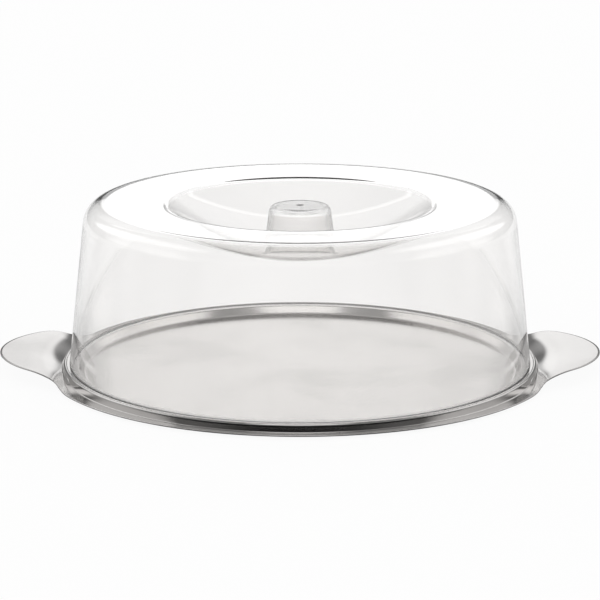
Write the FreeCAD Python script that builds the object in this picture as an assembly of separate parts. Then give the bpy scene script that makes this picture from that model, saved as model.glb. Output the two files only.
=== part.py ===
import FreeCAD, Part
import math
import os

# Covered serving tray in two loose pieces.
# tray:  one stainless sheet, pressed into a flat round plate with a stepped rim,
#        a sloping flange and two pull handles of the same sheet.
# cover: one clear moulding, a drum with a dished top and a hollow knob in the
#        dish, which rests on the ledge of the tray's rim.
# Millimetres, +Z up. The origin is the centre of the tray's flat underside and
# the handles lie along X.

# Cover: foot, wall and top
cover_foot_radius = 149.3     # outside of the wall where it stands on the ledge
cover_height = 105.1          # from the ledge to where wall and top ring would meet
cover_wall = 2.4
cover_draft = 6.4             # degrees, the wall leans in by this much
shoulder_radius = 13.5
ring_slope = 2.1              # degrees, the top ring falls towards the dish

# Cover: dish in the top, part of a ball centred on the axis
dish_radius = 85.0            # where the top ring turns down into the dish
dish_ball_radius = 138.0
dish_edge_slope = 36.0        # degrees, where the ball ends near the dish's edge
dish_floor_slope = 11.0       # degrees, where the ball ends near the knob
dish_edge_radius = 2.5

# Cover: knob, standing in the dish
knob_drop = 1.5               # knob's top below the dish's edge
knob_top_radius = 19.5
knob_base_radius = 22.8
knob_edge_radius = 2.0
knob_root_radius = 2.5
gate_radius = 1.6             # shallow gate mark in the middle of the knob
gate_depth = 0.4
gate_slant = 0.5

# Tray: rim, given by the sheet's upper skin
sheet = 0.8
cover_clearance = 1.7         # round the cover's foot, inside the lip
ledge_height = 5.0            # ledge above the plate's floor
ledge_width = 7.7
rim_inner_run = 3.8           # how far the rim's inner wall leans outwards
lip_rise = 0.6                # lip above the ledge
lip_run = 0.6
crest_width = 1.6
rim_outer_run = 0.5
rim_outer_drop = 5.5          # from the lip's crest down to the flange
floor_round = 4.0
ledge_round = 1.2
crest_round = 1.2
flange_round = 0.5
flange_width = 11.3
flange_slope = 10.0           # degrees

# Tray: handles, given by the sheet's upper skin along X
handle_radius = 63.0          # plan outline of a handle
handle_reach = 29.5           # tip beyond the flange's edge
handle_root_round = 12.0      # plan round between handle and flange
ramp_inset = 28.0             # where the ramp starts, inside the flange's edge
ramp_drop = 0.1               # the ramp starts this far below the floor's skin
ramp_rise = 10.3
ramp_slope = 29.0             # degrees
ramp_foot_round = 25.0
ramp_crown_round = 25.0
handle_slope = 2.0            # degrees

# Room that the shaping bodies have beyond the tray
press_margin = 10.0

# A round of a turned section is cut as a few cones that stay within this of it,
# and a round that the wall's thickness leaves smaller than this is a sharp corner
round_error = 0.45
least_round = 0.5

# Two heights or places closer than this are the same
same_place = 0.001


def slope(degrees):
    """Rise per unit of run."""
    return math.tan(math.radians(degrees))


# Places that follow from the sizes above
floor_top = sheet
ledge_top = floor_top + ledge_height
lip_top = ledge_top + lip_rise
flange_root = lip_top - rim_outer_drop
cover_top = ledge_top + cover_height
shoulder_corner = cover_foot_radius - cover_height * slope(cover_draft)
dish_edge = cover_top - (shoulder_corner - dish_radius) * slope(ring_slope)
knob_top = dish_edge - knob_drop
lip_foot_radius = cover_foot_radius + cover_clearance
ledge_inner_radius = lip_foot_radius - ledge_width
floor_radius = ledge_inner_radius - rim_inner_run
crest_inner_radius = lip_foot_radius + lip_run
crest_outer_radius = crest_inner_radius + crest_width
flange_inner_radius = crest_outer_radius + rim_outer_run
flange_radius = flange_inner_radius + flange_width
handle_tip = flange_radius + handle_reach
ramp_start = flange_radius - ramp_inset


def unit(start, end):
    """Direction from one (u, v, round) corner to the next."""
    run = end[0] - start[0]
    rise = end[1] - start[1]
    length = math.hypot(run, rise)
    return run / length, rise / length


def offset_corners(corners, distance):
    """The same path moved to its right by distance, with its rounds kept parallel."""
    moved = []
    last = len(corners) - 1
    for index, (u, v, radius) in enumerate(corners):
        before = unit(corners[max(index - 1, 0)], corners[max(index, 1)])
        after = unit(corners[min(index, last - 1)], corners[min(index + 1, last)])
        turn = before[0] * after[1] - before[1] * after[0]
        share = distance / (1.0 + before[0] * after[0] + before[1] * after[1])
        new_u = u + share * (before[1] + after[1])
        new_v = v - share * (before[0] + after[0])
        if radius > 0.0:
            radius = radius + math.copysign(distance, turn)
        moved.append((new_u, new_v, radius if radius >= least_round else 0.0))
    return moved


def run_count(radius, turn):
    """How many straight runs stand in for an arc within the allowed error."""
    run_turn = 2.0 * math.acos(1.0 - min(round_error / radius, 1.0))
    return max(1, math.ceil(turn / run_turn))


def arc_points(corner, before, after, turn, count):
    """Points along the tangent arc at a corner, both ends included."""
    u, v, radius = corner
    reach = radius * math.tan(0.5 * turn)
    side = math.copysign(1.0, before[0] * after[1] - before[1] * after[0])
    centre = (u - reach * before[0] - side * radius * before[1],
              v - reach * before[1] + side * radius * before[0])
    points = []
    for step in range(count + 1):
        angle = side * turn * step / count
        across = (side * before[1], -side * before[0])
        turned_u = across[0] * math.cos(angle) - across[1] * math.sin(angle)
        turned_v = across[0] * math.sin(angle) + across[1] * math.cos(angle)
        points.append((centre[0] + radius * turned_u, centre[1] + radius * turned_v))
    return points


def rounded_edges(corners, place, rounds_as_runs=False):
    """Lines and tangent arcs along the corners; place turns (u, v) into a point."""
    edges = []
    start = corners[0][:2]
    for index in range(1, len(corners)):
        u, v, radius = corners[index]
        points = [(u, v)]
        arc = radius > 0.0 and not rounds_as_runs
        if radius > 0.0:
            before = unit(corners[index - 1], corners[index])
            after = unit(corners[index], corners[index + 1])
            cosine = before[0] * after[0] + before[1] * after[1]
            turn = math.acos(max(-1.0, min(1.0, cosine)))
            count = 2 if arc else run_count(radius, turn)
            points = arc_points(corners[index], before, after, turn, count)
        edges.append(Part.makeLine(place(*start), place(*points[0])))
        if arc:
            edges.append(Part.Arc(*[place(*point) for point in points]).toShape())
        else:
            for near, far in zip(points[:-1], points[1:]):
                edges.append(Part.makeLine(place(*near), place(*far)))
        start = points[-1]
    return edges


def on_section(u, v):
    """A point of a turned section: radius along X, height along Z."""
    return FreeCAD.Vector(u, 0.0, v)


def turned(corners):
    """The solid of revolution of a closed path that starts and ends on the Z axis."""
    edges = rounded_edges(corners, on_section, True)
    edges.append(Part.makeLine(on_section(*corners[-1][:2]), on_section(*corners[0][:2])))
    face = Part.Face(Part.Wire(edges))
    return face.revolve(FreeCAD.Vector(0, 0, 0), FreeCAD.Vector(0, 0, 1), 360.0)


def rim_corners():
    """Upper skin of plate, rim and flange, from the axis outwards."""
    far_radius = handle_tip + press_margin
    far_height = flange_root + (far_radius - flange_inner_radius) * slope(flange_slope)
    return [
        (0.0, floor_top, 0.0),
        (floor_radius, floor_top, floor_round),
        (ledge_inner_radius, ledge_top, ledge_round),
        (lip_foot_radius, ledge_top, 0.0),
        (crest_inner_radius, lip_top, 0.0),
        (crest_outer_radius, lip_top, crest_round),
        (flange_inner_radius, flange_root, flange_round),
        (far_radius, far_height, 0.0),
    ]


def ramp_corners():
    """Upper skin of a handle along X, from inside the rim out past the tip."""
    foot_height = floor_top - ramp_drop
    foot = ramp_start + ramp_foot_round * slope(0.5 * ramp_slope)
    crown = foot + ramp_rise / slope(ramp_slope)
    far = handle_tip + press_margin
    far_height = foot_height + ramp_rise + (far - crown) * slope(handle_slope)
    return [
        (ramp_start - press_margin, foot_height, 0.0),
        (foot, foot_height, ramp_foot_round),
        (crown, foot_height + ramp_rise, ramp_crown_round),
        (far, far_height, 0.0),
    ]


def pressed_body(depth):
    """Everything below the sheet's upper skin, moved down by depth square to it."""
    bottom = -press_margin
    rim = offset_corners(rim_corners(), depth)
    rim[0] = (0.0, rim[0][1], 0.0)
    body = turned(rim + [(rim[-1][0], bottom, 0.0), (0.0, bottom, 0.0)])
    ramp = offset_corners(ramp_corners(), depth)
    for side in (-1.0, 1.0):
        def on_side(u, v):
            return FreeCAD.Vector(side * u, -handle_tip, v)
        edges = rounded_edges(ramp, on_side)
        low_outer = on_side(ramp[-1][0], bottom)
        low_inner = on_side(ramp[0][0], bottom)
        edges.append(Part.makeLine(on_side(*ramp[-1][:2]), low_outer))
        edges.append(Part.makeLine(low_outer, low_inner))
        edges.append(Part.makeLine(low_inner, on_side(*ramp[0][:2])))
        face = Part.Face(Part.Wire(edges))
        body = body.fuse(face.extrude(FreeCAD.Vector(0, 2.0 * handle_tip, 0)))
    return body


def outline():
    """Upright prism of the tray's cut outline: a disc with a round lobe each side."""
    height = lip_top + ramp_rise + 2.0 * press_margin
    base = FreeCAD.Vector(0, 0, -0.5 * press_margin)
    prism = Part.makeCylinder(flange_radius, height, base)
    for side in (-1.0, 1.0):
        centre = base + FreeCAD.Vector(side * (handle_tip - handle_radius), 0, 0)
        prism = prism.fuse(Part.makeCylinder(handle_radius, height, centre))
    prism = prism.removeSplitter()
    roots = []
    for edge in prism.Edges:
        ends = [vertex.Point for vertex in edge.Vertexes]
        upright = len(ends) == 2 and abs(abs(ends[0].z - ends[1].z) - height) < same_place
        if upright and abs(ends[0].y) > same_place:
            roots.append(edge)
    return prism.makeFillet(handle_root_round, roots)


def tray():
    """The sheet between the two skins, cut to the outline."""
    blank = pressed_body(0.0).common(outline())
    return blank.cut(pressed_body(sheet))


def cover_skin():
    """Outer skin of the cover, from the middle of the knob to the foot."""
    steep = math.radians(dish_edge_slope)
    gentle = math.radians(dish_floor_slope)
    ball_end = dish_ball_radius * math.sin(steep)
    ball_start = dish_ball_radius * math.sin(gentle)
    ball_end_height = dish_edge - (dish_radius - ball_end) * math.tan(steep)
    ball_rise = dish_ball_radius * (math.cos(gentle) - math.cos(steep))
    knob_foot = ball_end_height - ball_rise
    knob_foot = knob_foot - (ball_start - knob_base_radius) * math.tan(gentle)
    bend_reach = dish_ball_radius * math.tan(0.5 * (steep - gentle))
    bend_radius = ball_end - bend_reach * math.cos(steep)
    bend_height = ball_end_height - bend_reach * math.sin(steep)
    return [
        (0.0, knob_top, 0.0),
        (knob_top_radius, knob_top, knob_edge_radius),
        (knob_base_radius, knob_foot, knob_root_radius),
        (bend_radius, bend_height, dish_ball_radius),
        (dish_radius, dish_edge, dish_edge_radius),
        (shoulder_corner, cover_top, shoulder_radius),
        (cover_foot_radius, ledge_top, 0.0),
    ]


def cover():
    """The wall between the outer skin and the same skin moved in by its thickness."""
    outer = cover_skin()
    inner = offset_corners(outer, cover_wall)
    low_radius, low_height, _ = inner[-1]
    foot_inside = low_radius - (ledge_top - low_height) * slope(cover_draft)
    inner[-1] = (foot_inside, ledge_top, 0.0)
    gate = [
        (0.0, knob_top - gate_depth, 0.0),
        (gate_radius, knob_top - gate_depth, 0.0),
        (gate_radius + gate_slant, knob_top, 0.0),
    ]
    return turned(gate + outer[1:] + inner[::-1])


os.makedirs("parts", exist_ok=True)
solids = {"tray": tray(), "cover": cover()}
for node, solid in solids.items():
    solid.exportStep("parts/" + node + ".step")
    box = solid.BoundBox
    print(node, "valid", solid.isValid(), "solids", len(solid.Solids), "faces", len(solid.Faces))
    print("  volume cm3 %.2f" % (solid.Volume / 1000.0))
    print("  x %.2f to %.2f, y %.2f to %.2f" % (box.XMin, box.XMax, box.YMin, box.YMax))
    print("  z %.2f to %.2f" % (box.ZMin, box.ZMax))
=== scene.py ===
"""Covered serving tray: a pressed steel tray and its clear moulded cover.

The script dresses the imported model. Both pieces are surfaces worked out from the
solids' sections, with true rounds and softer ramps, and they take the solids' place.
"""

import math

import bpy
import numpy as np
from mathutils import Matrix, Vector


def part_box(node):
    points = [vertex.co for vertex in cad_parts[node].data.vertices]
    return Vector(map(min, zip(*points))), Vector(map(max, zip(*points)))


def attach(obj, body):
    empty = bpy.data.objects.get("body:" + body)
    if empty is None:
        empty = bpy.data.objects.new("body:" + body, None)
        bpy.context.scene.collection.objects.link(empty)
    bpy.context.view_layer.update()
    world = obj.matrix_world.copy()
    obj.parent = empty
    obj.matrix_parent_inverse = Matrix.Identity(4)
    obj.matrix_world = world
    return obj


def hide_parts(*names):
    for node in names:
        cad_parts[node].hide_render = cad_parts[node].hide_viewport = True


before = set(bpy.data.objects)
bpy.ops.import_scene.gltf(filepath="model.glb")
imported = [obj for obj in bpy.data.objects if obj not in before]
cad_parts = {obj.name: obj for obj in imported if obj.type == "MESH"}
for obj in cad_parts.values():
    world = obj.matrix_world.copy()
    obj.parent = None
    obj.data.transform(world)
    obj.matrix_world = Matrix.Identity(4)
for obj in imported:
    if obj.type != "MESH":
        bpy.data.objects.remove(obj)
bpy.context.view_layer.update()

bl_info = {
    "name": "Covered serving tray",
    "version": (1, 0, 0),
    "blender": (4, 5, 0),
    "location": "3D View > Sidebar > Serving tray",
    "description": "Makes a pressed steel serving tray with its clear cover, and a stage for it",
    "category": "Add Mesh",
}

TRAY_BOX = [list(corner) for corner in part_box("tray")]

# Fineness of the meshes: the finest turn in an arc, and the number of directions round
# the cover, across half a handle, and from there to the middle of the tray's front.
FINEST_TURN = math.radians(1.25)
COVER_COLUMNS = 288
HANDLE_SPAN = math.radians(28.0)
HANDLE_COLUMNS = 81
FRONT_COLUMNS = 57

# The tray's rows start at the hub's radius. Beyond the rim, their distances grow by this
# power towards the cut edge.
HUB_RADIUS = 0.004
WIDENING = 1.15

# Where the finishes change, in metres. The burnished ring has four radii: where it
# starts, is full, starts to fade and ends. The scuff has its height above the foot. A
# pair is two depths below the knob's top: where a finish starts and where it is full. A
# reach is the ratio of the squares of the radii where a finish ends and starts to fade.
BURNISHED_RING = (0.151, 0.153, 0.164, 0.168)
SCUFF_HEIGHT = 0.0025
MATT_KNOB = (0.026, 0.020)
MATT_KNOB_REACH = 1.1
DULL_TOP = (0.0012, 0.0006)
GATE_MARK = (0.0015, 0.0010)
GATE_REACH = 2.5

# Where the studio's lights lie. A direction has three parts: across, depth (away from
# the photograph's camera) and height. Each pair is where one of them, or a sum of them,
# starts to change a light's strength, and where it ends.
PANEL_ASIDE = (0.095, 0.165)
PANEL_DEPTH = (0.0, 0.5)
PANEL_FOOT = (0.07, 0.13)
PANEL_TOP = (0.36, 0.46)
DISC_TILT = 0.5
GLOW_START = (1.0, 1.03)
GLOW_RISE = (0.22, 0.40)
GLOW_LOW = 0.15
EDGE_START = (0.975, 0.992)
EDGE_END = (1.0, 1.02)
EDGE_FOOT = (0.40, 0.50)
SIDE_ASIDE = (0.50, 0.60)
SIDE_TILT = 0.5
SIDE_FOOT = (0.56, 0.66)
FLANK_ASIDE = (0.78, 0.90)
FLANK_FOOT = (0.03, 0.10)
FLANK_TOP = (0.45, 0.60)
WALLS_DEPTH = (-0.95, -0.55)
STRIP_DEPTH = (-0.6, -0.3)
STRIP_FOOT = (0.03, 0.06)
STRIP_TOP = (0.27, 0.33)
CEILING_FOOT = (0.70, 0.95)
KEY_HEIGHT = 0.8
KEY_DEPTH = 0.6
KEY_EDGE = (0.92, 0.96)

# What the floor and the world show to gloss and to the light that clear plastic bends.
FLOOR_RUN = (-0.20, 0.12)
FLOOR_GLOSS = (0.005, 0.80)
SIDE_OPENING = 1.2
FLOOR_BENT = (-0.05, 0.2)
WORLD_BENT = (-0.6, 0.2)
FLOOR_COLOUR = (0.8, 0.8, 0.8, 1.0)
WHITE = (1.0, 1.0, 1.0, 1.0)


def length(name, description, default):
    """A length in metres."""
    return bpy.props.FloatProperty(
        name=name, description=description, default=default, min=0.0,
        precision=5, subtype="DISTANCE", unit="LENGTH")


def turn(name, description, degrees):
    """An angle, given in degrees."""
    return bpy.props.FloatProperty(
        name=name, description=description, default=math.radians(degrees),
        subtype="ANGLE", unit="ROTATION")


def share(name, description, default, high=1.0):
    """A plain number from 0 up to high."""
    return bpy.props.FloatProperty(
        name=name, description=description, default=default, min=0.0, max=high, precision=4)


def colour(name, description, default):
    """A linear colour."""
    return bpy.props.FloatVectorProperty(
        name=name, description=description, default=default, size=3,
        min=0.0, max=1.0, subtype="COLOR")


class TraySizes(bpy.types.PropertyGroup):
    """Sizes of the pressed sheet, given by its upper skin."""

    sheet: length("Sheet", "Thickness of the steel sheet", 0.0008)
    cover_foot_radius: length("Cover foot", "Outer radius of the cover's foot", 0.1493)
    cover_clearance: length("Clearance", "Room round the cover's foot, inside the lip", 0.0017)
    ledge_height: length("Ledge height", "Ledge above the plate's floor", 0.0050)
    ledge_width: length("Ledge width", "Width of the ledge that the cover stands on", 0.0077)
    inner_run: length("Inner wall run", "How far the rim's inner wall leans outwards", 0.0038)
    lip_rise: length("Lip rise", "Height of the lip above the ledge", 0.0006)
    lip_run: length("Lip run", "How far the lip leans outwards", 0.0006)
    crest_width: length("Crest width", "Flat top of the lip", 0.0016)
    outer_run: length("Outer wall run", "How far the rim's outer wall leans outwards", 0.0005)
    outer_drop: length("Outer wall drop", "Drop from the lip's crest to the flange", 0.0055)
    flange_width: length("Flange width", "Width of the flange outside the rim", 0.0113)
    flange_slope: turn("Flange slope", "How much the flange rises outwards", 10.0)
    floor_round: length("Floor round", "Round between floor and inner wall", 0.0020)
    ledge_round: length("Ledge round", "Round at the ledge's inner edge", 0.0012)
    lip_round: length("Lip round", "Small rounds at the foot and top of the lip", 0.0004)
    crest_round: length("Crest round", "Round at the crest's outer edge", 0.0012)
    flange_round: length("Flange round", "Round between outer wall and flange", 0.0005)
    handle_tip: length("Handle tip", "From the axis to a handle's tip", TRAY_BOX[1][0])
    handle_radius: length("Handle radius", "Radius of a handle's outline", 0.0630)
    root_round: length("Root round", "Round between handle and flange in the outline", 0.0120)
    ramp_inset: length("Ramp inset", "Where the ramp starts, inside the flange's edge", 0.0280)
    ramp_drop: length("Ramp drop", "How far below the floor's skin the ramp starts", 0.0001)
    ramp_rise: length("Ramp rise", "Height that the ramp gains", 0.0103)
    ramp_slope: turn("Ramp slope", "Steepness of the ramp", 29.0)
    ramp_round: length("Ramp round", "Round at the ramp's foot", 0.0250)
    crown_round: length("Crown round", "Round at the ramp's crown", 0.0420)
    ramp_bow: length("Ramp bow", "How far the ramp bows out in the middle", 0.0032)
    bow_width: length("Bow width", "From the middle to where the bow ends", 0.0450)
    handle_slope: turn("Handle slope", "How much the handle rises beyond the ramp", 2.0)
    blend: length("Press blend", "Softness of the creases where the ramp meets the rim", 0.0012)
    edge_round: length("Edge round", "Round along the cut edge of the sheet", 0.0002)


class CoverSizes(bpy.types.PropertyGroup):
    """Sizes of the clear moulding, given by its outer skin."""

    foot_radius: length("Foot radius", "Outer radius where the wall stands", 0.1493)
    foot_height: length("Foot height", "Height of the ledge that the cover stands on", 0.0058)
    height: length("Height", "From the foot to where wall and top ring would meet", 0.1051)
    wall: length("Wall", "Thickness of the moulding", 0.0024)
    draft: turn("Draft", "How much the wall leans inwards", 6.4)
    shoulder_round: length("Shoulder round", "Round between wall and top ring", 0.0135)
    ring_slope: turn("Ring slope", "How much the top ring falls towards the dish", 2.1)
    dish_radius: length("Dish radius", "Where the ring turns down into the dish", 0.0850)
    dish_ball: length("Dish ball", "Radius of the ball that the dish is part of", 0.1380)
    dish_edge_slope: turn("Dish edge slope", "Slope where the ball ends at the dish's edge", 36.0)
    dish_floor_slope: turn("Dish floor slope", "Slope where the ball ends near the knob", 11.0)
    dish_round: length("Dish edge round", "Round of the dish's edge", 0.0055)
    knob_drop: length("Knob drop", "Knob's top below the dish's edge", 0.0015)
    knob_top_radius: length("Knob top radius", "Radius of the knob at its top", 0.0195)
    knob_base_radius: length("Knob base radius", "Radius of the knob at its base", 0.0228)
    knob_edge_round: length("Knob edge round", "Round of the knob's top edge", 0.0044)
    knob_root_round: length("Knob root round", "Round between knob and dish", 0.0025)
    inner_shoulder: length("Inner shoulder", "Shoulder round of the inner skin", 0.0120)
    inner_dish: length("Inner dish edge", "Dish edge round of the inner skin", 0.0087)
    inner_knob: length("Inner knob edge", "Knob edge round of the inner skin", 0.0040)
    gate_radius: length("Gate radius", "Radius of the gate mark on the knob", 0.0016)
    gate_depth: length("Gate depth", "Depth of the gate mark", 0.0004)
    gate_slant: length("Gate slant", "Run of the gate mark's side", 0.0005)
    foot_round: length("Foot round", "Rounds at the wall's foot", 0.0003)


class FinishSettings(bpy.types.PropertyGroup):
    """Colours and gloss of the two materials."""

    steel_pale: colour("Pale steel", "Steel where the polish is clean", (0.54, 0.528, 0.518))
    steel_deep: colour("Deep steel", "Steel where the polish is duller", (0.50, 0.488, 0.478))
    steel_roughness: share("Steel roughness", "Roughness of the polished sheet", 0.16)
    burnish: share("Burnish", "How much smoother the pressed rim is", 0.07)
    grain: share("Grain", "How much the polishing grain changes the roughness", 0.08)
    smudge: share("Smudge", "How much handling marks change the roughness", 0.05)
    clear_tint: colour("Clear tint", "Tint of the clear plastic", (0.99, 0.985, 0.98))
    clear_shade: colour("Clear shade", "Tint where the plastic is cloudier", (0.975, 0.97, 0.965))
    clear_roughness: share("Clear roughness", "Roughness of the moulded skin", 0.0)
    knob_roughness: share("Knob roughness", "Roughness of the matt knob", 0.19)
    knob_dulling: share("Knob dulling", "How much rougher the knob's top is", 0.06)
    # Painted shade: a dark grey tint that darkens the gate mark's small recess on the knob.
    gate_painted_shade: colour("Gate shade", "Tint of the gate mark on the knob", (0.12, 0.12, 0.12))
    gate_cloud: share("Gate cloud", "How much rougher the gate mark is", 0.3)
    scuff: share("Scuff", "Roughness of the rubbed foot", 0.40)
    clear_index: share("Refractive index", "How much the clear plastic bends light", 1.46, 3.0)


class StageSettings(bpy.types.PropertyGroup):
    """Camera, floor and light round the object."""

    floor_half: length("Floor half width", "Half the width of the floor", 12.0)
    camera_distance: length("Camera distance", "Camera in front of the axis", 1.6225)
    camera_height: length("Camera height", "Camera above the floor", 0.4418)
    camera_tilt: turn("Camera tilt", "How much the camera looks down", 13.751)
    focal: share("Focal length", "Focal length for a 36 mm wide sensor", 154.93, 500.0)
    back_strength: share("Back panel", "Brightness of the panel behind", 1.37, 10.0)
    key_strength: share("Key panel", "Brightness of the panel above the camera", 1.8, 10.0)
    sky_strength: share("Ceiling", "Brightness straight above", 0.45, 10.0)
    glow_strength: share("Glow", "Brightness above the back panel", 0.70, 10.0)
    edge_strength: share("Glow edge", "Brightness of the glow's upper edge", 1.5, 10.0)
    panel_strength: share("Side panels", "Brightness high up at the sides", 1.7, 10.0)
    wall_strength: share("Side walls", "Brightness low down at the sides", 0.22, 10.0)
    flank_strength: share("Flanks", "Brightness straight to the left and right", 1.1, 10.0)
    strip_strength: share("Front strip", "Brightness of the low strip in front", 0.55, 10.0)
    front_strength: share("Front", "Brightness in front, low down", 0.008, 10.0)
    side_strength: share("Sides", "Brightness that glass bends in from the sides", 0.5, 10.0)
    shadow: share("Shadow", "How much of the floor's own shade shows", 0.06)


def spread(corners, distance):
    """A path of (u, v, round) corners moved to its right by distance.

    Each corner moves along the sum of the two runs' right-hand normals, divided by one
    plus the cosine of the turn; a round grows or shrinks by distance with its side.
    """
    places = corners[:, :2]
    runs = np.diff(places, axis=0)
    runs /= np.linalg.norm(runs, axis=1)[:, None]
    before = np.vstack([runs[:1], runs])
    after = np.vstack([runs, runs[-1:]])
    cosine = (before * after).sum(axis=1)
    side = np.sign(before[:, 0] * after[:, 1] - before[:, 1] * after[:, 0])
    summed = before + after
    moved = places + (distance / (1.0 + cosine))[:, None] * np.stack(
        [summed[:, 1], -summed[:, 0]], axis=1)
    rounds = np.where(corners[:, 2] > 0.0, np.maximum(corners[:, 2] + side * distance, 0.0), 0.0)
    return np.column_stack([moved, rounds])


def rounded(corners, arc_step, chord):
    """Points along a path of (u, v, round) corners.

    A corner with a round becomes its tangent arc, centre plus radius times the cosine
    and sine of an even run of angles. They are at most arc_step apart, and a chord
    apart unless that is less than the finest turn.
    """
    points = [corners[:1, :2]]
    for before, corner, after in zip(corners[:-2], corners[1:-1], corners[2:]):
        here, radius = corner[:2], corner[2]
        if radius <= 0.0:
            points.append(here[None])
            continue
        back = (before[:2] - here) / np.linalg.norm(before[:2] - here)
        ahead = (after[:2] - here) / np.linalg.norm(after[:2] - here)
        opening = math.acos(np.clip(back @ ahead, -1.0, 1.0))
        reach = radius / math.tan(0.5 * opening)
        middle = back + ahead
        centre = here + middle / np.linalg.norm(middle) * radius / math.sin(0.5 * opening)
        start = here + back * reach - centre
        end = here + ahead * reach - centre
        first = math.atan2(start[1], start[0])
        swing = (math.atan2(end[1], end[0]) - first + math.pi) % (2.0 * math.pi) - math.pi
        fine = min(abs(swing) * radius / chord, abs(swing) / FINEST_TURN)
        count = max(2, math.ceil(abs(swing) / arc_step), math.ceil(fine))
        angles = first + swing * np.linspace(0.0, 1.0, count + 1)
        points.append(centre + radius * np.stack([np.cos(angles), np.sin(angles)], axis=1))
    points.append(corners[-1:, :2])
    return np.vstack(points)


def divided(path, step, guard, least):
    """The same path with more points on each run longer than least.

    One stands close to each end, which keeps the shading flat up to the start of a
    round, and the others stand evenly between them.
    """
    points = [path[:1]]
    for near, far in zip(path[:-1], path[1:]):
        run = np.linalg.norm(far - near)
        places = np.array([1.0])
        if run > least:
            inside = np.linspace(guard, run - guard, max(2, math.ceil(run / step) + 1))
            places = np.append(inside / run, 1.0)
        points.append(near + (far - near) * places[:, None])
    return np.vstack(points)


def soft_max(first, second, blend):
    """The larger of two heights, with the crease between them filled.

    The larger height plus the square of what blend leaves of their difference, divided
    by four times blend.
    """
    left = np.maximum(blend - np.abs(first - second), 0.0)
    return np.maximum(first, second) + left * left / (4.0 * blend)


def closed_piece(name, start, rings, end, material):
    """A closed mesh from a pole, rows of points round the Z axis, and a second pole.

    Each row joins the next one by quads, and the poles close it by fans, so a path
    that starts above and runs outwards and down has its faces outwards.
    """
    rows, columns = rings.shape[:2]
    points = np.vstack([start, rings.reshape(-1, 3), end])
    column = np.arange(columns)
    ahead = (column + 1) % columns
    row = np.arange(rows - 1)[:, None] * columns + 1
    quads = np.stack([row + column, row + columns + column,
                      row + columns + ahead, row + ahead], axis=-1).reshape(-1, 4)
    last = (rows - 1) * columns + 1
    top = np.stack([np.zeros(columns, int), column + 1, ahead + 1], axis=1)
    bottom = np.stack([np.full(columns, len(points) - 1), last + ahead, last + column], axis=1)
    mesh = bpy.data.meshes.new(name)
    mesh.from_pydata(points.tolist(), [], top.tolist() + quads.tolist() + bottom.tolist())
    mesh.shade_smooth()
    mesh.materials.append(material)
    piece = bpy.data.objects.new(name, mesh)
    bpy.context.scene.collection.objects.link(piece)
    return piece


class Number:
    """A socket that carries one number; arithmetic on it adds Math nodes."""

    def __init__(self, shader, socket):
        self.shader = shader
        self.socket = socket

    def math(self, operation, first, second):
        node = self.shader.node("Math", {"operation": operation}, {0: first, 1: second})
        return Number(self.shader, node.outputs[0])

    def __add__(self, other):
        return self.math("ADD", self, other)

    def __radd__(self, other):
        return self.math("ADD", other, self)

    def __sub__(self, other):
        return self.math("SUBTRACT", self, other)

    def __rsub__(self, other):
        return self.math("SUBTRACT", other, self)

    def __mul__(self, other):
        return self.math("MULTIPLY", self, other)

    def __rmul__(self, other):
        return self.math("MULTIPLY", other, self)

    def higher(self, other):
        return self.math("MAXIMUM", self, other)

    def size(self):
        return self.math("ABSOLUTE", self, 0.0)

    def ease(self, low, high, at_low=0.0, at_high=1.0):
        """From at_low to at_high as this goes from low to high, with soft ends."""
        node = self.shader.node("MapRange", {"interpolation_type": "SMOOTHSTEP"}, {
            "Value": self, "From Min": low, "From Max": high,
            "To Min": at_low, "To Max": at_high})
        return Number(self.shader, node.outputs[0])

    def fade(self, low, high):
        """From one to nothing as this goes from low to high."""
        return self.ease(low, high, 1.0, 0.0)


class Shader:
    """The node tree of a material or of the world."""

    def __init__(self, owner):
        owner.use_nodes = True
        self.tree = owner.node_tree
        self.tree.nodes.clear()

    def node(self, kind, settings=None, sockets=None):
        """A node of this kind: its settings first, then the values or links of its sockets."""
        node = self.tree.nodes.new("ShaderNode" + kind)
        for name, value in (settings or {}).items():
            setattr(node, name, value)
        for name, value in (sockets or {}).items():
            if isinstance(value, Number):
                value = value.socket
            if isinstance(value, bpy.types.NodeSocket):
                self.tree.links.new(value, node.inputs[name])
            else:
                node.inputs[name].default_value = value
        return node

    def number(self, node, output):
        """One output of a node."""
        return Number(self, node.outputs[output])

    def parts(self, vector):
        """The X, Y and Z of a vector."""
        node = self.node("SeparateXYZ", {}, {"Vector": vector})
        return [self.number(node, axis) for axis in "XYZ"]

    def place(self, stretch=(1.0, 1.0, 1.0)):
        """Object coordinates, stretched."""
        source = self.node("TexCoord").outputs["Object"]
        return self.node("Mapping", {}, {"Vector": source, "Scale": stretch}).outputs[0]

    def noise(self, scale, detail=3.0, stretch=(1.0, 1.0, 1.0)):
        """Noise over the object's own coordinates, from 0 to 1."""
        node = self.node("TexNoise", {}, {
            "Vector": self.place(stretch), "Scale": scale, "Detail": detail})
        return self.number(node, "Fac")

    def blend(self, amount, first, second):
        """Mix of two colours; the first may be the outcome of another mix."""
        if not isinstance(first, bpy.types.NodeSocket):
            first = (*first, 1.0)
        node = self.node("Mix", {"data_type": "RGBA"}, {
            "Factor": amount, "A": first, "B": (*second, 1.0)})
        return node.outputs["Result"]

    def mixed(self, amount, first, second):
        """Mix Shader of two shader nodes."""
        return self.node("MixShader", {}, {
            0: amount, 1: first.outputs[0], 2: second.outputs[0]})


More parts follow.
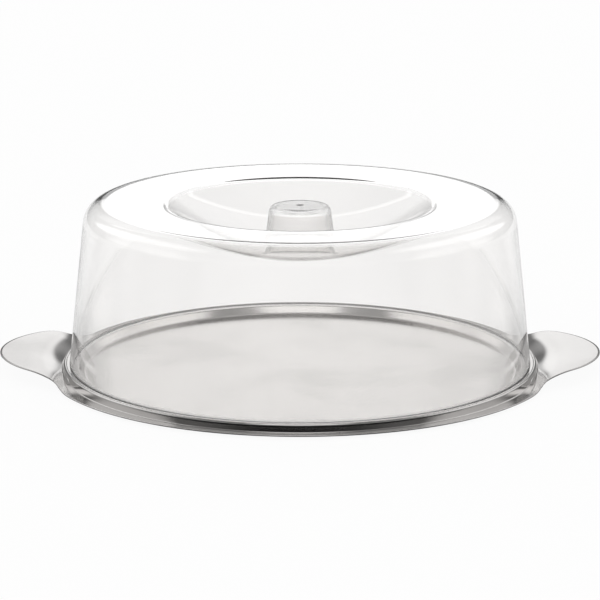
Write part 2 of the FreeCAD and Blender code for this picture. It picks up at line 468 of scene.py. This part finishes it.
def polished_steel(finish):
    """Stainless sheet with a fine polishing grain along X and faint handling marks.

    The ring that the press formed is a little smoother.
    """
    material = bpy.data.materials.new("polished_steel")
    shader = Shader(material)
    grain = shader.noise(scale=90.0, detail=2.0, stretch=(0.25, 22.0, 22.0))
    fine_grain = shader.noise(scale=240.0, detail=1.0, stretch=(0.2, 14.0, 14.0))
    marks = shader.noise(scale=14.0, detail=4.0).ease(low=0.42, high=0.72)
    x, y, _ = shader.parts(shader.place())
    off_axis = x * x + y * y
    start, full, fading, end = (radius ** 2 for radius in BURNISHED_RING)
    formed = off_axis.ease(start, full) * off_axis.fade(fading, end)
    roughness = (finish.steel_roughness - formed * finish.burnish + (grain - 0.5) * finish.grain
                 + (fine_grain - 0.5) * finish.grain + marks * finish.smudge)
    bump = shader.node("Bump", {}, {
        "Strength": 0.10, "Distance": 0.00001, "Height": grain + 0.5 * fine_grain})
    surface = shader.node("BsdfPrincipled", {}, {
        "Base Color": shader.blend(marks, finish.steel_pale, finish.steel_deep),
        "Metallic": 1.0,
        "Roughness": roughness,
        "Normal": bump.outputs[0],
    })
    shader.node("OutputMaterial", {}, {"Surface": surface.outputs[0]})
    return material


def clear_moulding(finish, foot_height, knob_top, knob_radius, gate_radius):
    """Clear moulded plastic, faintly wavy, rubbed at its foot, with a matt knob.

    The gate mark in the middle of the knob is cloudy, and its small recess is tinted dark grey as
    painted shade.
    """
    material = bpy.data.materials.new("clear_moulding")
    shader = Shader(material)
    x, y, height = shader.parts(shader.place())
    off_axis = x * x + y * y

    def above(depths):
        """From nothing to one between two depths below the knob's top."""
        return height.ease(knob_top - depths[0], knob_top - depths[1])

    def within(radius, reach):
        """From one at a radius to nothing where its square is reach times as large."""
        return off_axis.fade(radius ** 2, reach * radius ** 2)

    rubbed = height.fade(foot_height, foot_height + SCUFF_HEIGHT)
    matt = above(MATT_KNOB) * within(knob_radius, MATT_KNOB_REACH)
    gate = above(GATE_MARK) * within(gate_radius, GATE_REACH)
    cloud = shader.noise(scale=9.0, detail=3.0).ease(low=0.35, high=0.8)
    clean = shader.blend(cloud, finish.clear_tint, finish.clear_shade)
    bump = shader.node("Bump", {}, {
        "Strength": 0.15, "Distance": 0.0003, "Height": shader.noise(scale=22.0, detail=2.0)})
    surface = shader.node("BsdfPrincipled", {}, {
        # The dark grey on the gate mark's recess is painted shade.
        "Base Color": shader.blend(gate, clean, finish.gate_painted_shade),
        "Roughness": finish.clear_roughness + rubbed * finish.scuff
                     + matt * finish.knob_roughness
                     + matt * above(DULL_TOP) * finish.knob_dulling
                     + gate * finish.gate_cloud,
        "IOR": finish.clear_index,
        "Transmission Weight": 1.0,
        "Normal": bump.outputs[0],
    })
    shader.node("OutputMaterial", {}, {"Surface": surface.outputs[0]})
    return material


def skin_height(x, y, rim, ramp, sizes):
    """Height of a skin of the sheet: rim section against distance from the axis, ramp
    section against distance along X, and the larger of the two with a soft crease.

    The ramp bows round the tray: its distance falls by half the bow times one plus the
    cosine of a swing that goes from nothing in the middle to half a turn at the ends.
    """
    swing = math.pi * np.minimum(np.abs(y) / sizes.bow_width, 1.0)
    bow = -0.5 * sizes.ramp_bow * (1.0 + np.cos(swing))
    turned = np.interp(np.hypot(x, y), rim[:, 0], rim[:, 1])
    pressed = np.interp(np.abs(x) + bow, ramp[:, 0], ramp[:, 1])
    return soft_max(turned, pressed, sizes.blend)


def outline_radius(angle, sizes, flange_radius):
    """Distance from the axis to the cut edge in each direction.

    The flange's circle, or where the ray meets the handle's circle, and between them
    the near side of the root round, which touches both circles.
    """
    folded = np.arctan2(np.abs(np.sin(angle)), np.abs(np.cos(angle)))
    lobe, root = sizes.handle_radius, sizes.root_round
    centre = sizes.handle_tip - lobe
    far, near = flange_radius + root, lobe + root
    root_x = (far * far - near * near + centre * centre) / (2.0 * centre)
    root_angle = math.acos(root_x / far)
    root_y = far * math.sin(root_angle)
    touch = math.atan2(lobe * root_y / near, centre + lobe * (root_x - centre) / near)
    handle = centre * np.cos(folded) + np.sqrt(
        np.maximum(lobe ** 2 - (centre * np.sin(folded)) ** 2, 0.0))
    off = folded - root_angle
    bend = far * np.cos(off) - np.sqrt(np.maximum(root ** 2 - (far * np.sin(off)) ** 2, 0.0))
    radius = np.where(folded < touch, handle, bend)
    return np.where(folded < root_angle, radius, flange_radius), (touch, root_angle)


def tray_directions(marks):
    """Angles round the tray: close together across the handles, and at each mark."""
    quarter = np.concatenate([
        np.linspace(0.0, HANDLE_SPAN, HANDLE_COLUMNS),
        np.linspace(HANDLE_SPAN, 0.5 * math.pi, FRONT_COLUMNS)[1:], marks])
    quarter = np.unique(np.round(quarter, 7))
    half = np.concatenate([quarter, math.pi - quarter[-2::-1]])
    return np.concatenate([half, 2.0 * math.pi - half[-2:0:-1]])


class OBJECT_OT_tray_add(bpy.types.Operator):
    """Add the pressed steel tray with its rim, flange and handles"""

    bl_idname = "object.serving_tray_add"
    bl_label = "Add Tray"

    def execute(self, context):
        sizes = context.scene.tray_sizes
        floor = sizes.sheet
        ledge = floor + sizes.ledge_height
        lip = ledge + sizes.lip_rise
        root = lip - sizes.outer_drop
        lip_foot = sizes.cover_foot_radius + sizes.cover_clearance
        ledge_inner = lip_foot - sizes.ledge_width
        crest_inner = lip_foot + sizes.lip_run
        crest_outer = crest_inner + sizes.crest_width
        flange_inner = crest_outer + sizes.outer_run
        flange_radius = flange_inner + sizes.flange_width
        # Both sections run on past the outline, which cuts them off.
        beyond = sizes.handle_tip + 0.01
        rim_corners = np.array([
            (0.0, floor, 0.0),
            (ledge_inner - sizes.inner_run, floor, sizes.floor_round),
            (ledge_inner, ledge, sizes.ledge_round),
            (lip_foot, ledge, sizes.lip_round),
            (crest_inner, lip, sizes.lip_round),
            (crest_outer, lip, sizes.crest_round),
            (flange_inner, root, sizes.flange_round),
            (beyond, root + (beyond - flange_inner) * math.tan(sizes.flange_slope), 0.0),
        ])
        ramp_low = floor - sizes.ramp_drop
        ramp_foot = (flange_radius - sizes.ramp_inset
                     + sizes.ramp_round * math.tan(0.5 * sizes.ramp_slope))
        ramp_crown = ramp_foot + sizes.ramp_rise / math.tan(sizes.ramp_slope)
        ramp_high = ramp_low + sizes.ramp_rise
        ramp_corners = np.array([
            (0.0, ramp_low, 0.0),
            (ramp_foot, ramp_low, sizes.ramp_round),
            (ramp_crown, ramp_high, sizes.crown_round),
            (beyond, ramp_high + (beyond - ramp_crown) * math.tan(sizes.handle_slope), 0.0),
        ])
        _, marks = outline_radius(np.zeros(1), sizes, flange_radius)
        angle = tray_directions(marks)
        edge, _ = outline_radius(angle, sizes, flange_radius)
        across = np.stack([np.cos(angle), np.sin(angle)])
        ends = flange_inner + 2.0 * sizes.flange_round

        def skin(depth, step, outer_rows, arc_step):
            """Rows of one skin of the sheet, from near the axis out to the cut edge.

            As far as the rim's outer wall they are circles through the rim section's
            points, and beyond it they change evenly into the outline.
            """
            rim = rounded(spread(rim_corners, depth), arc_step, chord=0.0006)
            ramp = rounded(spread(ramp_corners, depth), math.radians(2.0), chord=0.001)
            rows = divided(rim, step, guard=0.0001, least=0.0007)[:, 0]
            rows = np.unique(np.round(rows[(rows > HUB_RADIUS) & (rows < ends)], 6))
            inner = np.repeat(rows[:, None], len(angle), axis=1)
            way = np.linspace(0.0, 1.0, outer_rows)[:, None] ** WIDENING
            outer = ends + (edge - sizes.edge_round - ends) * way
            radius = np.vstack([inner, outer])
            x, y = radius * across[0], radius * across[1]
            return np.stack([x, y, skin_height(x, y, rim, ramp, sizes)], axis=-1)

        upper = skin(0.0, step=0.006, outer_rows=36, arc_step=math.radians(13.0))
        lower = skin(sizes.sheet, step=0.012, outer_rows=18, arc_step=math.radians(30.0))[::-1]
        side_x, side_y = edge * across[0], edge * across[1]
        cut = [np.stack([side_x, side_y, upper[-1, :, 2] - sizes.edge_round], axis=-1),
               np.stack([side_x, side_y, lower[0, :, 2] + sizes.edge_round], axis=-1)]
        rings = np.vstack([upper, np.stack(cut), lower])
        piece = closed_piece(
            "tray_sheet", np.array([[0.0, 0.0, floor]]), rings, np.zeros((1, 3)),
            polished_steel(context.scene.tray_finish))
        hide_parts("tray")
        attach(piece, "root")
        return {"FINISHED"}


class OBJECT_OT_cover_add(bpy.types.Operator):
    """Add the clear cover with its dished top and hollow knob"""

    bl_idname = "object.serving_cover_add"
    bl_label = "Add Cover"

    def execute(self, context):
        sizes = context.scene.cover_sizes
        top = sizes.foot_height + sizes.height
        shoulder = sizes.foot_radius - sizes.height * math.tan(sizes.draft)
        dish_edge = top - (shoulder - sizes.dish_radius) * math.tan(sizes.ring_slope)
        knob_top = dish_edge - sizes.knob_drop
        steep, gentle, ball = sizes.dish_edge_slope, sizes.dish_floor_slope, sizes.dish_ball
        ball_end, ball_start = ball * math.sin(steep), ball * math.sin(gentle)
        ball_end_height = dish_edge - (sizes.dish_radius - ball_end) * math.tan(steep)
        ball_rise = ball * (math.cos(gentle) - math.cos(steep))
        knob_foot = (ball_end_height - ball_rise
                     - (ball_start - sizes.knob_base_radius) * math.tan(gentle))
        reach = ball * math.tan(0.5 * (steep - gentle))
        outer_corners = np.array([
            (0.0, knob_top, 0.0),
            (sizes.knob_top_radius, knob_top, sizes.knob_edge_round),
            (sizes.knob_base_radius, knob_foot, sizes.knob_root_round),
            (ball_end - reach * math.cos(steep), ball_end_height - reach * math.sin(steep), ball),
            (sizes.dish_radius, dish_edge, sizes.dish_round),
            (shoulder, top, sizes.shoulder_round),
            (sizes.foot_radius, sizes.foot_height, 0.0),
        ])
        # The inner skin has softer rounds of its own at the knob, the dish and the shoulder.
        inner_corners = spread(outer_corners, sizes.wall)
        inner_corners[[1, 4, 5], 2] = sizes.inner_knob, sizes.inner_dish, sizes.inner_shoulder
        low_radius, low_height = inner_corners[-1, :2]
        foot_inside = low_radius - (sizes.foot_height - low_height) * math.tan(sizes.draft)
        inner_corners[-1] = (foot_inside, sizes.foot_height, sizes.foot_round)
        gate = np.array([
            (0.0, knob_top - sizes.gate_depth, 0.0),
            (sizes.gate_radius, knob_top - sizes.gate_depth, 0.5 * sizes.gate_depth),
            (sizes.gate_radius + sizes.gate_slant, knob_top, 0.5 * sizes.gate_depth),
        ])
        outer_corners[-1, 2] = sizes.foot_round
        section = rounded(np.vstack([gate, outer_corners[1:], inner_corners[::-1]]),
                          arc_step=math.radians(9.0), chord=0.0005)
        section = divided(section, step=0.008, guard=0.0004, least=0.0035)
        angle = np.linspace(0.0, 2.0 * math.pi, COVER_COLUMNS, endpoint=False)
        middle = section[1:-1]
        rings = np.stack([
            middle[:, :1] * np.cos(angle), middle[:, :1] * np.sin(angle),
            np.repeat(middle[:, 1:], len(angle), axis=1)], axis=-1)
        poles = np.zeros((2, 3))
        poles[:, 2] = section[0, 1], section[-1, 1]
        piece = closed_piece(
            "cover_moulding", poles[:1], rings, poles[1:],
            clear_moulding(context.scene.tray_finish, sizes.foot_height, knob_top,
                           sizes.knob_base_radius, sizes.gate_radius))
        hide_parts("cover")
        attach(piece, "root")
        return {"FINISHED"}


def studio_light(shader, direction, stage):
    """Brightness of the studio seen by gloss, which is its brightest light's.

    Behind: a narrow tall panel in a dim round glow with a bright edge. In front: a low
    strip, a dark gap and a key panel above the camera. On each side: a flank low down
    and a panel high up. Dim walls and a dim ceiling.
    """
    across, depth, height = shader.parts(direction)
    aside = across.size()
    panel = (aside.fade(*PANEL_ASIDE) * depth.ease(*PANEL_DEPTH)
             * height.ease(*PANEL_FOOT) * height.fade(*PANEL_TOP) * stage.back_strength)
    disc = depth + DISC_TILT * height
    glow = disc.ease(*GLOW_START) * height.ease(*GLOW_RISE, GLOW_LOW, stage.glow_strength)
    edge = (disc.ease(*EDGE_START) * disc.fade(*EDGE_END) * height.ease(*EDGE_FOOT)
            * stage.edge_strength)
    side = (aside.ease(*SIDE_ASIDE) * (height + SIDE_TILT * depth).ease(*SIDE_FOOT)
            * stage.panel_strength)
    flank = (aside.ease(*FLANK_ASIDE) * height.ease(*FLANK_FOOT) * height.fade(*FLANK_TOP)
             * stage.flank_strength)
    walls = depth.ease(*WALLS_DEPTH, stage.front_strength, stage.wall_strength)
    strip = (height.ease(*STRIP_FOOT) * height.fade(*STRIP_TOP)
             * depth.ease(*STRIP_DEPTH, stage.strip_strength, 0.0))
    ceiling = height.ease(*CEILING_FOOT, 0.0, stage.sky_strength)
    key = (KEY_HEIGHT * height - KEY_DEPTH * depth).ease(*KEY_EDGE, 0.0, stage.key_strength)
    return (panel.higher(glow).higher(edge).higher(side).higher(flank).higher(walls)
            .higher(strip).higher(ceiling).higher(key))


def side_shade(shader, place, near, far, low):
    """One ahead and behind, falling to low where the place lies off to a side."""
    across, along, _ = shader.parts(place)
    return (across.size() - SIDE_OPENING * along.size()).ease(near, far, 1.0, low)


def white_floor(stage):
    """The floor: white with a faint shade to the camera, plain grey to matt surfaces.

    Gloss sees it dark in front and pale behind. Clear plastic bends in a pale floor
    ahead and behind, and a darker one at the sides.
    """
    material = bpy.data.materials.new("stage_floor")
    shader = Shader(material)
    ray = shader.node("LightPath")
    place = shader.place()
    _, along, _ = shader.parts(place)
    matt = shader.node("BsdfDiffuse", {}, {"Color": FLOOR_COLOUR})
    white = shader.node("Emission", {}, {"Color": WHITE, "Strength": 1.0})
    gloss = shader.node("Emission", {}, {"Strength": along.ease(*FLOOR_RUN, *FLOOR_GLOSS)})
    bent = shader.node("Emission", {}, {
        "Strength": side_shade(shader, place, *FLOOR_BENT, stage.side_strength)})
    unseen = shader.mixed(shader.number(ray, "Is Glossy Ray"), matt, gloss)
    unseen = shader.mixed(shader.number(ray, "Is Transmission Ray"), unseen, bent)
    seen = shader.mixed(stage.shadow, white, matt)
    surface = shader.mixed(shader.number(ray, "Is Camera Ray"), unseen, seen)
    shader.node("OutputMaterial", {}, {"Surface": surface.outputs[0]})
    return material


def studio_world(stage):
    """The world: white to the camera and to matt surfaces, and the studio to gloss.

    Clear plastic bends in the studio or a pale surround, whichever is brighter.
    """
    world = bpy.data.worlds.new("studio")
    shader = Shader(world)
    ray = shader.node("LightPath")
    direction = shader.node("TexCoord").outputs["Generated"]
    light = studio_light(shader, direction, stage)
    through = light.higher(side_shade(shader, direction, *WORLD_BENT, stage.side_strength))
    gloss = shader.number(ray, "Is Glossy Ray")
    passed = shader.number(ray, "Is Transmission Ray")
    plain = 1.0 - gloss.higher(passed)
    strength = plain + gloss * (1.0 - passed) * light + passed * through
    background = shader.node("Background", {}, {"Color": WHITE, "Strength": strength})
    shader.node("OutputWorld", {}, {"Surface": background.outputs[0]})
    return world


class SCENE_OT_stage_add(bpy.types.Operator):
    """Add the floor, the studio light and the camera"""

    bl_idname = "scene.serving_stage_add"
    bl_label = "Add Stage"

    def execute(self, context):
        scene = context.scene
        stage = scene.tray_stage
        half = stage.floor_half
        mesh = bpy.data.meshes.new("stage_floor")
        mesh.from_pydata([(-half, -half, 0.0), (half, -half, 0.0), (half, half, 0.0),
                          (-half, half, 0.0)], [], [(0, 1, 2, 3)])
        mesh.materials.append(white_floor(stage))
        floor = bpy.data.objects.new("stage_floor", mesh)
        scene.collection.objects.link(floor)
        scene.world = studio_world(stage)

        view = bpy.data.cameras.new("photo_view")
        view.sensor_width = 36.0
        view.lens = stage.focal
        camera = bpy.data.objects.new("photo_view", view)
        scene.collection.objects.link(camera)
        camera.location = (0.0, -stage.camera_distance, stage.camera_height)
        camera.rotation_euler = (0.5 * math.pi - stage.camera_tilt, 0.0, 0.0)
        scene.camera = camera
        scene.view_settings.view_transform = "Standard"
        return {"FINISHED"}


class VIEW3D_PT_serving_tray(bpy.types.Panel):
    """Buttons for the tray, its cover and the stage"""

    bl_label = "Serving tray"
    bl_idname = "VIEW3D_PT_serving_tray"
    bl_space_type = "VIEW_3D"
    bl_region_type = "UI"
    bl_category = "Serving tray"

    def draw(self, context):
        for operator in OPERATORS:
            self.layout.operator(operator.bl_idname)


OPERATORS = (OBJECT_OT_tray_add, OBJECT_OT_cover_add, SCENE_OT_stage_add)
SETTINGS = {
    "tray_sizes": TraySizes,
    "cover_sizes": CoverSizes,
    "tray_finish": FinishSettings,
    "tray_stage": StageSettings,
}


def register():
    for item in (*SETTINGS.values(), *OPERATORS, VIEW3D_PT_serving_tray):
        bpy.utils.register_class(item)
    for name, group in SETTINGS.items():
        setattr(bpy.types.Scene, name, bpy.props.PointerProperty(type=group))


def unregister():
    for name in SETTINGS:
        delattr(bpy.types.Scene, name)
    for item in (VIEW3D_PT_serving_tray, *OPERATORS, *SETTINGS.values()):
        bpy.utils.unregister_class(item)


def main():
    register()
    bpy.ops.object.serving_tray_add()
    bpy.ops.object.serving_cover_add()
    bpy.ops.scene.serving_stage_add()


if __name__ == "__main__":
    main()
